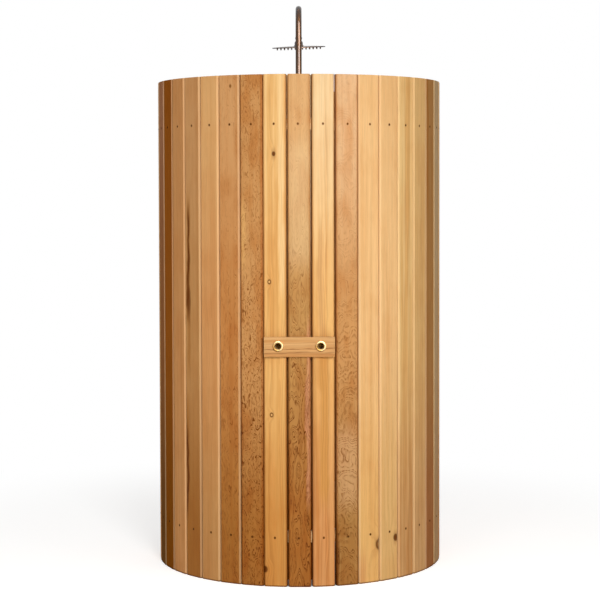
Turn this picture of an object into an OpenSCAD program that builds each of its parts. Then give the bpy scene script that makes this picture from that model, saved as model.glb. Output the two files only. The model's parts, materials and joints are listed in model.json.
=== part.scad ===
// Round outdoor shower cabin: upright cedar staves screwed to two hoops,
// open at the top and at a doorway, with a riser board inside that carries
// the pipe of a rain shower.
// The plumbing side faces -Y and the doorway lies behind it on the left.
// The origin is the middle of the footprint, on the ground.

/* [Wall] */
// Stave places round the full circle
places = 39; // [33:1:47]
// Places left out for the doorway
doorway_count = 8; // [6:1:10]
// Staves from the doorway to the plumbing stave, on its left
left_count = 10; // [8:1:12]
// Radius to the inner faces of the staves
inner_radius = 516; // [480:1:600]
// Height of the wall
wall_height = 1829; // [1600:1:2000]
// Thickness of a stave
stave_thick = 25; // [19:0.5:32]
// Chamfer along the outer edges of a stave
stave_chamfer = 5; // [1:0.5:6]
// Clearance between neighbouring staves
stave_clearance = 0.4; // [0.2:0.1:2]
// Extra width of the two open joints right of the middle stave
open_joint = 4.6; // [0:0.2:6]
// Extra width of the slack joint left of the middle stave
slack_joint = 4; // [0:0.2:6]

/* [Riser board] */
// Width of the upright board behind the plumbing stave
riser_width = 112; // [100:1:114]
// Thickness of the board
riser_thick = 18; // [15:0.5:20]
// Chamfer along the board's inner edges
riser_chamfer = 3; // [1:0.5:5]
// Height of the board's foot above the ground
riser_foot = 15; // [5:1:60]

/* [Hoops] */
// Height of a hoop
hoop_height = 40; // [30:1:60]
// Thickness of a hoop
hoop_thick = 25; // [18:0.5:26]
// Distance from either end of the staves to the middle of a hoop
hoop_inset = 176; // [120:1:300]
// How far a hoop stops short of the doorway edge
hoop_setback = 6; // [2:1:20]

/* [Supply board] */
// Length of the board
board_length = 252; // [230:1:256]
// Height of the board
board_height = 70; // [60:1:100]
// Thickness of the board
board_thick = 20; // [15:1:30]
// Height of the board's middle above the ground
board_z = 862; // [700:1:1100]

/* [Supply inlets] */
// Distance between the hot and the cold inlet
inlet_spacing = 152; // [140:1:160]
// Height of the inlets above the board's middle
inlet_rise = 3; // [0:0.5:8]
// Diameter of the flange on the board
flange_diameter = 38; // [36:0.5:44]
// How far the flange stands out from the board
flange_thick = 4; // [3:0.5:6]
// Rounding of the flange's front edges
flange_round = 3; // [1:0.25:3]
// Outer diameter of the sleeve through the board and the wall
sleeve_diameter = 28; // [27:0.5:32]
// Inner diameter of the sleeve
sleeve_bore = 23; // [22.5:0.5:26]
// How far the sleeve stands in from the wall
sleeve_reach = 7; // [4:0.5:10]
// Radial clearance of the sleeve in the wood
sleeve_clearance = 0.3; // [0.2:0.1:1]

/* [Supply unions] */
// Diameter of the union's collar on the mixer
union_diameter = 32; // [30:0.5:36]
// Width of the union nut across its flats
union_flats = 30; // [29:0.5:32]
// Length of the union nut
union_nut_length = 14; // [10:0.5:16]
// Diameter of the nipple inside the sleeve
nipple_diameter = 21; // [20:0.5:22]
// How far the nipple reaches into the sleeve
nipple_length = 8; // [5:0.5:12]
// Diameter of the socket that takes the supply pipe
socket_diameter = 16; // [13:0.1:17]
// Depth of the socket
socket_depth = 20; // [14:1:24]

/* [Mixer] */
// Diameter of the mixer's body
mixer_diameter = 42; // [38:1:46]
// Length of the mixer's body
mixer_length = 200; // [196:1:210]
// Diameter of the end bands
band_diameter = 45; // [42:1:48]
// Width of the end bands
band_width = 7; // [4:0.5:10]
// Diameter of the collar under the pipe
collar_diameter = 30; // [28:1:36]
// Height of the collar above the body
collar_height = 12; // [8:1:20]
// Diameter of a handle
handle_diameter = 46; // [42:1:50]
// Length of a handle
handle_length = 40; // [30:1:46]
// Chamfer at both ends of a handle
handle_chamfer = 3; // [1:0.5:5]
// Diameter of a handle's stem
stem_diameter = 26; // [20:1:32]
// Gap between a handle and the body
handle_gap = 1.5; // [1:0.5:4]
// Finger flutes round a handle
flutes = 8; // [5:1:10]
// Diameter of a flute
flute_diameter = 12; // [8:0.5:14]
// Depth of a flute
flute_depth = 3; // [1:0.5:5]

/* [Shower pipe] */
// Outer diameter of the pipe
pipe_diameter = 22; // [18:0.5:25]
// Wall of the pipe
pipe_wall = 1.5; // [1:0.1:3]
// Distance from the inner faces of the staves to the pipe's axis
pipe_offset = 68; // [67:1:80]
// Height where the gooseneck starts
gooseneck_z = 1933; // [1900:1:2100]
// Radius of the gooseneck
gooseneck_radius = 150; // [120:1:180]
// Angle through which the gooseneck bends
gooseneck_bend = 157; // [150:1:180]

/* [Pipe bracket] */
// Height of the ring round the pipe
ring_height = 18; // [12:1:30]
// Wall of the ring
ring_wall = 5; // [3:0.5:8]
// Radial clearance of the ring round the pipe
ring_clearance = 0.1; // [0.05:0.05:0.3]
// Diameter of the plate on the riser board
plate_diameter = 36; // [30:1:40]
// Thickness of the plate
plate_thick = 4; // [3:0.5:8]
// Diameter of the stem between plate and ring
bracket_stem = 12; // [8:0.5:16]

/* [Ball swivel] */
// Diameter of the ball
ball_diameter = 22; // [20:0.5:24]
// Radial clearance round the ball
ball_clearance = 0.3; // [0.2:0.05:0.5]
// Distance from the pipe's end to the ball's centre
ball_drop = 20; // [20:1:30]
// Diameter of the neck above the ball
neck_diameter = 11; // [8:0.5:12]
// Diameter of the connector's collar
connector_diameter = 26; // [24:1:30]
// Length of the connector's collar
connector_length = 5; // [4:0.5:5]
// How far the head can swivel from the line of the pipe's end
swivel = 25; // [20:1:28]
// Gap round the neck at full swivel
neck_gap = 0.8; // [0.5:0.1:1.5]
// Height of the nut above the ball's centre
nut_height = 6; // [6:0.5:7]
// Diameter of the nut at its top
nut_top_diameter = 26; // [25:0.5:27]

/* [Rain head] */
// Diameter of the head
head_diameter = 200; // [150:1:250]
// Thickness at the rim
head_rim = 3.5; // [1.5:0.5:4]
// Thickness of the plate where it meets the hub
head_middle = 7; // [5:0.5:10]
// Diameter of the hub
hub_diameter = 31; // [30:0.5:36]
// Depth of the hub from the ball's centre to the plate
hub_depth = 12; // [12:0.5:18]
// Width of the cove round the hub
hub_cove = 6; // [3:0.5:8]
// Tilt of the plate towards the doorway
head_pitch = 5.3; // [0:0.1:10]
// Sideways tilt of the plate
head_roll = 1.8; // [0:0.1:3]

/* [Hidden] */
$fn = 96;
cut = 1;    // how far a cutting shape runs past a face

pitch = 360 / places;
stave_count = places - doorway_count;
plumbing_stave = left_count + 1;
stave_width = 2 * inner_radius * tan(pitch / 2) - stave_clearance;
outer_radius = inner_radius + stave_thick;
hoop_radius = inner_radius - hoop_thick;
top_hoop_z = wall_height - hoop_inset;

// The wall's axis stands behind the middle of the footprint, because the
// supply flanges reach further forward than the staves reach back.
front_reach = outer_radius + board_thick + flange_thick;
edge_offset = stave_width / 2 - stave_chamfer;
outer_corners = [for (n = [1:stave_count], side = [-1, 1]) outer_corner(n, side)];
wall_x = -(max([for (c = outer_corners) c.x]) + min([for (c = outer_corners) c.x])) / 2;
wall_y = (front_reach - max([for (c = outer_corners) c.y])) / 2;

inlet_x = inlet_spacing / 2;
inlet_z = board_z + inlet_rise;
wall_at_inlet = (inner_radius - inlet_x * sin(pitch)) / cos(pitch);
sleeve_end = wall_at_inlet - sleeve_reach;
sleeve_length = front_reach - sleeve_end;

pipe_radius = inner_radius - pipe_offset;
collar_top = inlet_z + mixer_diameter / 2 + collar_height;
end_tilt = 180 - gooseneck_bend;
end_y = gooseneck_radius * (1 + cos(end_tilt)) - pipe_radius;
end_z = gooseneck_z + gooseneck_radius * sin(end_tilt);
ball_y = end_y + ball_drop * sin(end_tilt);
ball_z = end_z - ball_drop * cos(end_tilt);

stave_names = [for (n = [1:stave_count]) str("stave_", n < 10 ? "0" : "", n)];

// Stave n's angle round the wall's axis, from the plumbing side.
function stave_angle(n) = (n - plumbing_stave) * pitch;

// Point at a radius from the wall's axis and a distance across stave n.
function across_stave(n, radius, distance) =
    let (a = stave_angle(n))
        [radius * sin(a) + distance * cos(a), distance * sin(a) - radius * cos(a)];

// Corner of stave n's outer face; side is -1 for left and 1 for right.
function outer_corner(n, side) = across_stave(n, outer_radius, side * edge_offset);

// Extra width of the joint between staves n and n + 1.
function joint_opening(n) =
    n == plumbing_stave - 1 ? slack_joint :
    n == plumbing_stave || n == plumbing_stave + 1 ? open_joint : 0;

// Places children() on the wall's axis.
module on_axis() {
    translate([wall_x, wall_y, 0])
        children();
}

// Turns a part drawn along +Z so that +Z points out through the plumbing
// side, and places it at inlet height; side is -1 for hot and 1 for cold.
module at_inlet(side, y) {
    translate([side * inlet_x, y, inlet_z])
        rotate([90, 0, 0])
            children();
}

module stave_section(n) {
    left = joint_opening(n - 1) / 2 - stave_width / 2;
    right = stave_width / 2 - joint_opening(n) / 2;
    polygon([
        [left, -inner_radius],
        [left, stave_chamfer - outer_radius],
        [left + stave_chamfer, -outer_radius],
        [right - stave_chamfer, -outer_radius],
        [right, stave_chamfer - outer_radius],
        [right, -inner_radius]
    ]);
}

// Straight board with both outer edges chamfered. The neighbours of the
// plumbing stave are drilled for the supply sleeves.
module stave(n) {
    color("burlywood")
        on_axis()
            difference() {
                rotate(stave_angle(n))
                    linear_extrude(wall_height)
                        stave_section(n);
                if (abs(n - plumbing_stave) == 1)
                    sleeve_hole(n - plumbing_stave);
            }
}

module sleeve_hole(side) {
    at_inlet(side, 0)
        cylinder(d = sleeve_diameter + 2 * sleeve_clearance, h = 2 * outer_radius);
}

// Corners of the polygon whose flats lie at the given radius.
function ring_corners(radius) = [
    for (n = [1:stave_count - 1])
        let (a = stave_angle(n + 0.5), r = radius / cos(pitch / 2))
            [r * sin(a), -r * cos(a)]
];

// Where the hoop ends behind stave n, a little short of the doorway edge.
function hoop_end(n, radius, side) =
    across_stave(n, radius, side * (stave_width / 2 - hoop_setback));

// Many-sided hoop: each stave has a flat of its own to lie against.
module hoop(z) {
    inner_corners = ring_corners(hoop_radius);
    color("wheat")
        on_axis()
            translate([0, 0, z - hoop_height / 2])
                linear_extrude(hoop_height)
                    polygon(concat(
                        [hoop_end(1, inner_radius, -1)],
                        ring_corners(inner_radius),
                        [hoop_end(stave_count, inner_radius, 1), hoop_end(stave_count, hoop_radius, 1)],
                        [for (i = [len(inner_corners) - 1:-1:0]) inner_corners[i]],
                        [hoop_end(1, hoop_radius, -1)]
                    ));
}

module bottom_hoop() {
    hoop(hoop_inset);
}

module top_hoop() {
    hoop(top_hoop_z);
}

// Upright board that ties both hoops and closes the two joints beside the
// plumbing stave. Its back follows the flats of the hoops.
module riser_board() {
    half = riser_width / 2;
    flat = hoop_radius * tan(pitch / 2);
    side = (hoop_radius - half * sin(pitch)) / cos(pitch);
    face = hoop_radius - riser_thick;
    color("peru")
        on_axis()
            translate([0, 0, riser_foot])
                linear_extrude(wall_height - riser_foot)
                    polygon([
                        [-flat, -hoop_radius],
                        [flat, -hoop_radius],
                        [half, -side],
                        [half, -face - riser_chamfer],
                        [half - riser_chamfer, -face],
                        [riser_chamfer - half, -face],
                        [-half, -face - riser_chamfer],
                        [-half, -side]
                    ]);
}

// Flat against the plumbing stave; its ends stand clear of the curved wall.
module supply_board() {
    color("sandybrown")
        on_axis()
            difference() {
                translate([-board_length / 2, -outer_radius - board_thick, board_z - board_height / 2])
                    cube([board_length, board_thick, board_height]);
                sleeve_hole(-1);
                sleeve_hole(1);
            }
}

// Brass sleeve through the board and the wall, with a rounded flange on the
// board.
module inlet(side) {
    flange_radius = flange_diameter / 2;
    bore_radius = sleeve_bore / 2;
    back = sleeve_length - flange_thick;
    edge = min(flange_round, (flange_radius - bore_radius) / 2);
    color("goldenrod")
        on_axis()
            at_inlet(side, -sleeve_end)
                rotate_extrude()
                    polygon(concat(
                        [[bore_radius, 0], [sleeve_diameter / 2, 0]],
                        [[sleeve_diameter / 2, back], [flange_radius, back]],
                        [for (a = [0:15:90])
                            [flange_radius - edge * (1 - cos(a)), sleeve_length - edge * (1 - sin(a))]],
                        [for (a = [90:-15:0])
                            [bore_radius + edge * (1 - cos(a)), sleeve_length - edge * (1 - sin(a))]]
                    ));
}

module hot_inlet() {
    inlet(-1);
}

module cold_inlet() {
    inlet(1);
}

// Two unions from the sleeves to the mixer. Each has a collar, a six-sided
// nut and a nipple inside its sleeve, with a plain socket for the supply pipe.
module supply_unions() {
    length = sleeve_end - pipe_radius - mixer_diameter / 2;
    color("goldenrod")
        on_axis()
            for (side = [-1, 1])
                at_inlet(side, -sleeve_end + length)
                    difference() {
                        union() {
                            cylinder(d = union_diameter, h = length - union_nut_length);
                            translate([0, 0, length - union_nut_length])
                                cylinder(d = union_flats / cos(30), h = union_nut_length, $fn = 6);
                            cylinder(d = nipple_diameter, h = length + nipple_length);
                        }
                        translate([0, 0, length + nipple_length - socket_depth])
                            cylinder(d = socket_diameter, h = socket_depth + cut);
                    }
}

// Bar mixer with flat seats for the unions and a collar for the pipe.
module mixer_body() {
    color("saddlebrown")
        on_axis()
            difference() {
                translate([0, -pipe_radius, inlet_z]) {
                    rotate([0, 90, 0])
                        cylinder(d = mixer_diameter, h = mixer_length, center = true);
                    for (side = [-1, 1])
                        translate([side * (mixer_length - band_width) / 2, 0, 0])
                            rotate([0, 90, 0])
                                cylinder(d = band_diameter, h = band_width, center = true);
                    for (side = [-1, 1])
                        translate([side * inlet_x, 0, 0])
                            rotate([90, 0, 0])
                                cylinder(d = union_diameter, h = mixer_diameter / 2);
                    cylinder(d = collar_diameter, h = collar_top - inlet_z);
                }
                translate([0, -pipe_radius, inlet_z])
                    cylinder(d = pipe_diameter - 2 * pipe_wall, h = collar_top - inlet_z + cut);
            }
}

// Fluted handle on its stem; side is -1 for hot and 1 for cold.
module handle(side) {
    radius = handle_diameter / 2;
    top = handle_gap + handle_length;
    color("saddlebrown")
        on_axis()
            translate([side * mixer_length / 2, -pipe_radius, inlet_z])
                rotate([0, side * 90, 0])
                    difference() {
                        rotate_extrude()
                            polygon([
                                [0, 0],
                                [stem_diameter / 2, 0],
                                [stem_diameter / 2, handle_gap],
                                [radius - handle_chamfer, handle_gap],
                                [radius, handle_gap + handle_chamfer],
                                [radius, top - handle_chamfer],
                                [radius - handle_chamfer, top],
                                [0, top]
                            ]);
                        for (i = [0:flutes - 1])
                            rotate(i * 360 / flutes)
                                translate([radius - flute_depth + flute_diameter / 2, 0, handle_gap + 2 * handle_chamfer])
                                    cylinder(d = flute_diameter, h = handle_length);
                    }
}

module hot_handle() {
    handle(-1);
}

module cold_handle() {
    handle(1);
}

// Straight riser and gooseneck in one piece, drawn solid at the given
// diameter; the ends run past by extra.
module pipe_run(diameter, extra) {
    translate([0, -pipe_radius, 0]) {
        translate([0, 0, collar_top - extra])
            cylinder(d = diameter, h = gooseneck_z - collar_top + extra);
        translate([0, gooseneck_radius, gooseneck_z])
            rotate([90, 0, -90]) {
                rotate_extrude(angle = gooseneck_bend)
                    translate([gooseneck_radius, 0])
                        circle(d = diameter);
                if (extra > 0)
                    rotate(gooseneck_bend)
                        translate([gooseneck_radius, 0, 0])
                            rotate([-90, 0, 0])
                                cylinder(d = diameter, h = extra);
            }
    }
}

module shower_pipe() {
    color("saddlebrown")
        on_axis()
            difference() {
                pipe_run(pipe_diameter, 0);
                pipe_run(pipe_diameter - 2 * pipe_wall, cut);
            }
}

// Plate on the riser board with a stem and a ring round the pipe.
module pipe_bracket() {
    reach = pipe_offset - hoop_thick - riser_thick;
    color("saddlebrown")
        on_axis()
            translate([0, -pipe_radius, top_hoop_z])
                difference() {
                    union() {
                        rotate([90, 0, 0]) {
                            cylinder(d = bracket_stem, h = reach);
                            translate([0, 0, reach - plate_thick])
                                cylinder(d = plate_diameter, h = plate_thick);
                        }
                        cylinder(d = pipe_diameter + 2 * ring_wall, h = ring_height, center = true);
                    }
                    cylinder(d = pipe_diameter + 2 * ring_clearance, h = ring_height + 2 * cut, center = true);
                }
}

// Places children() at the ball's centre, in line with the pipe's end.
module at_pipe_end() {
    translate([wall_x, wall_y + ball_y, ball_z])
        rotate([end_tilt, 0, 0])
            children();
}

// Places children() at the ball's centre, square to the head's plate.
module at_head() {
    translate([wall_x, wall_y + ball_y, ball_z])
        rotate([head_pitch, -head_roll, 0])
            children();
}

// Ball on a neck, with a collar that closes the pipe's end.
module ball_connector() {
    color("saddlebrown")
        at_pipe_end() {
            sphere(d = ball_diameter);
            cylinder(d = neck_diameter, h = ball_drop);
            translate([0, 0, ball_drop - connector_length])
                cylinder(d = connector_diameter, h = connector_length);
        }
}

module ball_cavity() {
    sphere(d = ball_diameter + 2 * ball_clearance);
}

// Tapered nut that keeps the ball in the hub. Its mouth opens as far as the
// neck needs at full swivel, and its lip stays narrower than the ball.
module swivel_nut() {
    mouth = neck_diameter / 2 / cos(swivel) + neck_gap;
    mouth_height = nut_height + cut;
    color("saddlebrown")
        at_head()
            difference() {
                cylinder(d1 = hub_diameter, d2 = nut_top_diameter, h = nut_height);
                ball_cavity();
                cylinder(r1 = mouth, r2 = mouth + mouth_height * tan(swivel), h = mouth_height);
            }
}

// Thin plate, domed on top, with a hub that cups the ball. The dome falls
// from the hub's cove to the rim as a parabola.
module rain_head() {
    face = -hub_depth - head_middle;
    radius = head_diameter / 2;
    hub_radius = hub_diameter / 2;
    cove = hub_radius + hub_cove;
    steps = 8;
    color("saddlebrown")
        at_head()
            difference() {
                rotate_extrude()
                    polygon(concat(
                        [[0, face], [radius, face]],
                        [for (i = [0:steps])
                            let (r = radius - (radius - cove) * i / steps, f = r / radius)
                                [r, face + head_rim + (head_middle - head_rim) * (1 - f * f)]],
                        [for (a = [0:15:90])
                            [cove - hub_cove * sin(a), hub_cove * (1 - cos(a)) - hub_depth]],
                        [[hub_radius, 0], [0, 0]]
                    ));
                ball_cavity();
            }
}

for (n = [1:stave_count])
    stave(n);
bottom_hoop();
top_hoop();
riser_board();
supply_board();
hot_inlet();
cold_inlet();
supply_unions();
mixer_body();
hot_handle();
cold_handle();
shower_pipe();
pipe_bracket();
ball_connector();
swivel_nut();
rain_head();
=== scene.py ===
import json
import math

import bmesh
import bpy
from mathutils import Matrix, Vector


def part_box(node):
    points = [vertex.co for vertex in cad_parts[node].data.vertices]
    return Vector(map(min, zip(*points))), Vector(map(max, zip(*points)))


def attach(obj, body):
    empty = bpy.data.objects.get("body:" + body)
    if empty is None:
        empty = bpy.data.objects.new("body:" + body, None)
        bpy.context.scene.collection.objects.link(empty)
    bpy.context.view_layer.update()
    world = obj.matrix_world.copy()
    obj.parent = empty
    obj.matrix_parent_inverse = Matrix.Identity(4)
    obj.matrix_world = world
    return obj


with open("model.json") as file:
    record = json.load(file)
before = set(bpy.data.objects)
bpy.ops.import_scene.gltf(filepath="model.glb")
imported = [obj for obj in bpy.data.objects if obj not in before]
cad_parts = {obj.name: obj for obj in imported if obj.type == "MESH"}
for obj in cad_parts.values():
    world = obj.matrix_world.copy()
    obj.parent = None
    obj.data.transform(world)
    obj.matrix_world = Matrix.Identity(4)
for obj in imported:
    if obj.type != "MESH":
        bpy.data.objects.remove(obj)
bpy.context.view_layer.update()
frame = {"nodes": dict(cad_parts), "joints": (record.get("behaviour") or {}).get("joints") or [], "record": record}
nodes = frame["nodes"]
record = frame["record"]
mm = 0.001
eased = dict(interpolation_type="SMOOTHSTEP")    # for a range that starts and ends softly

# the opening inside the wall is centred on the wall's axis
inside = record["physics"]["openings"][0]["box_m"]
wallAxis = Vector(((inside[0][0] + inside[1][0]) / 2, (inside[0][1] + inside[1][1]) / 2, 0))
wall = dict(
    places=39,           # staves in the full circle, if there were no doorway
    staves=31,
    plumbingStave=11,
    outerRadius=541 * mm,
    innerRadius=516 * mm,
)
pitch = math.tau / wall["places"]
lowHoop = (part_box("bottom_hoop")[0].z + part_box("bottom_hoop")[1].z) / 2
highHoop = (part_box("top_hoop")[0].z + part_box("top_hoop")[1].z) / 2
print("frame loaded, wall axis at", [round(v, 4) for v in wallAxis])


def linearColour(hexText):
    parts = [int(hexText[i:i + 2], 16) / 255 for i in (1, 3, 5)]
    return [p / 12.92 if p <= 0.04045 else ((p + 0.055) / 1.055) ** 2.4 for p in parts] + [1.0]


def addNode(tree, kind, inputs=None, **settings):
    # a node given as an input is linked by its first output, a socket as it is, any other value is set
    node = tree.nodes.new(kind)
    for name, value in settings.items():
        setattr(node, name, value)
    for key, value in (inputs or {}).items():
        if isinstance(value, bpy.types.Node):
            value = value.outputs[0]
        if isinstance(value, bpy.types.NodeSocket):
            tree.links.new(value, node.inputs[key])
        else:
            node.inputs[key].default_value = value
    return node


def newMaterial(name):
    made = bpy.data.materials.new(name)
    made.use_nodes = True
    made.node_tree.nodes.clear()
    return made, made.node_tree


def newGroup(name, kind, inputs, outputs):
    tree = bpy.data.node_groups.new(name, kind)
    for way, sockets in (("INPUT", inputs), ("OUTPUT", outputs)):
        for socket, labels in sockets.items():
            for label in labels:
                tree.interface.new_socket(label, in_out=way, socket_type="NodeSocket" + socket)
    return tree, tree.nodes.new("NodeGroupInput").outputs


def dress(nodeName, material):
    mesh = nodes[nodeName].data
    mesh.materials.clear()
    mesh.materials.append(material)


def addPiece(name, mesh, body, material=None):
    piece = bpy.data.objects.new(name, mesh)
    bpy.context.scene.collection.objects.link(piece)
    if material:
        mesh.materials.append(material)
    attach(piece, body)
    print(name, len(mesh.polygons), "faces")


# ---- studio ----
camera = dict(across=3.6 * mm, back=6.35, height=1.4095, pitchDown=2.018, roll=0.151,
              lens=98.31, sensor=36, shift=-0.083)

# places are counted from the wall's axis, sizes in metres, power in watts
lamps = dict(
    keySoftbox=dict(place=(0.55, -3.9, 1.8), aim=(0.0, -0.5, 1.15), size=(1.0, 1.0), power=83),
    fillSoftbox=dict(place=(-1.7, -4.2, 1.5), aim=(0.0, -0.3, 1.0), size=(1.2, 1.6), power=20),
    edgeSoftbox=dict(place=(2.6, -3.0, 1.8), aim=(0.0, -0.4, 1.4), size=(0.25, 1.6), power=6),
    # a strip overhead that only shows in polished metal
    crestStrip=dict(place=(0.9, -2.4, 3.5), aim=(0.0, -0.45, 1.95), size=(1.0, 4.2), power=360,
                    onlyInGloss=True),
)

skyStrength = 0.36    # for the light that falls on the object; camera and gloss see plain white

floorLook = dict(
    size=60.0, colour="#f1f0ee", roughness=0.9,
    shadeTo=0.525, liftFrom=0.54, lift=0.55,    # the paper inside the wall stays in its shade
    fadeFrom=1.0, fadeTo=2.4,                   # from the paper to the white backdrop
)


def buildCamera():
    data = bpy.data.cameras.new("camera")
    data.lens = camera["lens"]
    data.sensor_width = camera["sensor"]
    data.shift_y = camera["shift"]
    data.dof.use_dof = False
    cam = bpy.data.objects.new("camera", data)
    bpy.context.scene.collection.objects.link(cam)
    cam.location = (camera["across"], wallAxis.y - camera["back"], camera["height"])
    cam.rotation_euler = (math.radians(90 - camera["pitchDown"]), math.radians(camera["roll"]), 0)
    bpy.context.scene.camera = cam


def buildLamp(name, look):
    data = bpy.data.lights.new(name, "AREA")
    data.shape = "RECTANGLE"
    data.size, data.size_y = look["size"]
    data.energy = look["power"]
    lamp = bpy.data.objects.new(name, data)
    bpy.context.scene.collection.objects.link(lamp)
    lamp.location = wallAxis + Vector(look["place"])
    lamp.rotation_euler = (Vector(look["aim"]) - Vector(look["place"])).to_track_quat("-Z", "Y").to_euler()
    lamp.visible_diffuse = not look.get("onlyInGloss", False)


def seenRays(tree):
    # 1 for what the camera, a gloss or a glass sees, 0 for the light that falls on the object
    path = addNode(tree, "ShaderNodeLightPath").outputs
    first = addNode(tree, "ShaderNodeMath", {0: path["Is Camera Ray"], 1: path["Is Glossy Ray"]},
                    operation="MAXIMUM")
    return addNode(tree, "ShaderNodeMath", {0: first, 1: path["Is Transmission Ray"]}, operation="MAXIMUM")


def buildWorld():
    world = bpy.data.worlds.new("studioWorld")
    world.use_nodes = True
    tree = world.node_tree
    tree.nodes.clear()
    sky = addNode(tree, "ShaderNodeBackground", {"Color": (1, 1, 1, 1), "Strength": skyStrength})
    white = addNode(tree, "ShaderNodeBackground", {"Color": (1, 1, 1, 1), "Strength": 1.0})
    both = addNode(tree, "ShaderNodeMixShader", {"Fac": seenRays(tree), 1: sky, 2: white})
    addNode(tree, "ShaderNodeOutputWorld", {"Surface": both})
    bpy.context.scene.world = world
    bpy.context.scene.view_settings.view_transform = "Standard"


def buildFloor():
    mesh = bpy.data.meshes.new("studioFloor")
    half = floorLook["size"] / 2
    mesh.from_pydata([(-half, -half, 0), (half, -half, 0), (half, half, 0), (-half, half, 0)], [],
                     [(0, 1, 2, 3)])
    floor = bpy.data.objects.new("studioFloor", mesh)
    bpy.context.scene.collection.objects.link(floor)
    material, tree = newMaterial("matt white studio paper")
    coords = addNode(tree, "ShaderNodeTexCoord").outputs["Object"]
    fromAxis = addNode(tree, "ShaderNodeVectorMath", {0: coords, 1: tuple(wallAxis)}, operation="SUBTRACT")
    away = addNode(tree, "ShaderNodeVectorMath", {0: fromAxis}, operation="LENGTH").outputs["Value"]
    fade = addNode(tree, "ShaderNodeMapRange",
                   {"Value": away, "From Min": floorLook["fadeFrom"], "From Max": floorLook["fadeTo"]},
                   **eased)
    outdoors = addNode(tree, "ShaderNodeMapRange",
                       {"Value": away, "From Min": floorLook["shadeTo"], "From Max": floorLook["liftFrom"],
                        "To Max": floorLook["lift"]})
    seen = seenRays(tree)
    paper = addNode(tree, "ShaderNodeBsdfPrincipled",
                    {"Base Color": linearColour(floorLook["colour"]), "Roughness": floorLook["roughness"],
                     "Specular IOR Level": 0.0})
    liftLevel = addNode(tree, "ShaderNodeMath", {0: seen, 1: outdoors}, operation="MULTIPLY")
    lift = addNode(tree, "ShaderNodeEmission", {"Color": (1, 1, 1, 1), "Strength": liftLevel})
    near = addNode(tree, "ShaderNodeAddShader", {0: paper, 1: lift})
    far = addNode(tree, "ShaderNodeEmission", {"Color": (1, 1, 1, 1), "Strength": 1.0})
    farLevel = addNode(tree, "ShaderNodeMath", {0: fade, 1: seen}, operation="MULTIPLY")
    both = addNode(tree, "ShaderNodeMixShader", {"Fac": farLevel, 1: near, 2: far})
    addNode(tree, "ShaderNodeOutputMaterial", {"Surface": both})
    mesh.materials.append(material)


buildCamera()
for name, look in lamps.items():
    buildLamp(name, look)
buildWorld()
buildFloor()
print("studio ready")


# ---- western red cedar ----
# Planed and clear oiled. The eye sees late wood as dark lines, which close into arches over
# a low pith and run straight beside a far one, over slow bands of tint and fine fibre.
cedar = dict(
    # each noise by the width and length of its grains, and detail; real fibres are finer than
    # 0.1 mm, and these are drawn coarser so that they show
    drift=(90 * mm, 520 * mm, 1.0), dash=(5 * mm, 13 * mm, 1.0), fibre=(1.6 * mm, 70 * mm, 3.0),
    band=(26 * mm, 1300 * mm, 2.0), blotch=(60 * mm, 150 * mm, 2.0), swirlDetail=0.7,
    noiseRoughness=0.55, noiseShift=(3.17, 1.73, 5.91),
    # where in a year's growth the late wood sets in and stops, and how lean a year can be
    rise=(0.3, 0.78), drop=(0.9, 1.0), leanYear=0.4, uneven=2.2, unevenScale=0.45,
    dips=(0.43, 0.58),                # levels of the noise between a break and a full line
    toneSpan=(0.15, 1.7),             # heights between the tones of foot and head
    lateSpan=(0.45, 1.5),             # heights between strong late wood and weak
    bandSpan=(0.36, 0.64), blotchSpan=(0.42, 0.7),
    pink="#fff1e2", ochre="#e4c292", lateWood="#a07a40", endGrain=0.7,
    fibreShade=0.16, relief=0.25 * mm, lateRelief=0.6, bumpStrength=0.6,
    roughness=0.48, fibreRoughness=0.06, latePolish=-0.08, gloss=0.06, ior=1.5,
)


def buildStretchedNoise():
    # noise whose grains are so wide and so long; seed and step move it to a fresh place
    tree, get = newGroup("stretchedNoise", "ShaderNodeTree",
                         {"Vector": ["Place"], "Float": ["Width", "Length", "Detail", "Seed", "Step"]},
                         {"Float": ["Level"], "Color": ["Two Levels"]})
    grain = addNode(tree, "ShaderNodeCombineXYZ", {0: get["Width"], 1: get["Width"], 2: get["Length"]})
    steps = addNode(tree, "ShaderNodeVectorMath", {0: get["Place"], 1: grain}, operation="DIVIDE")
    shift = addNode(tree, "ShaderNodeMath", {0: get["Seed"], 1: get["Step"]}, operation="MULTIPLY")
    moved = addNode(tree, "ShaderNodeVectorMath", {0: cedar["noiseShift"], 1: shift, 2: steps},
                    operation="MULTIPLY_ADD")
    noise = addNode(tree, "ShaderNodeTexNoise",
                    {"Vector": moved, "Scale": 1.0, "Detail": get["Detail"],
                     "Roughness": cedar["noiseRoughness"]}).outputs
    addNode(tree, "NodeGroupOutput", {"Level": noise[0], "Two Levels": noise[1]})
    return tree


stretchedNoise = buildStretchedNoise()


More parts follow.
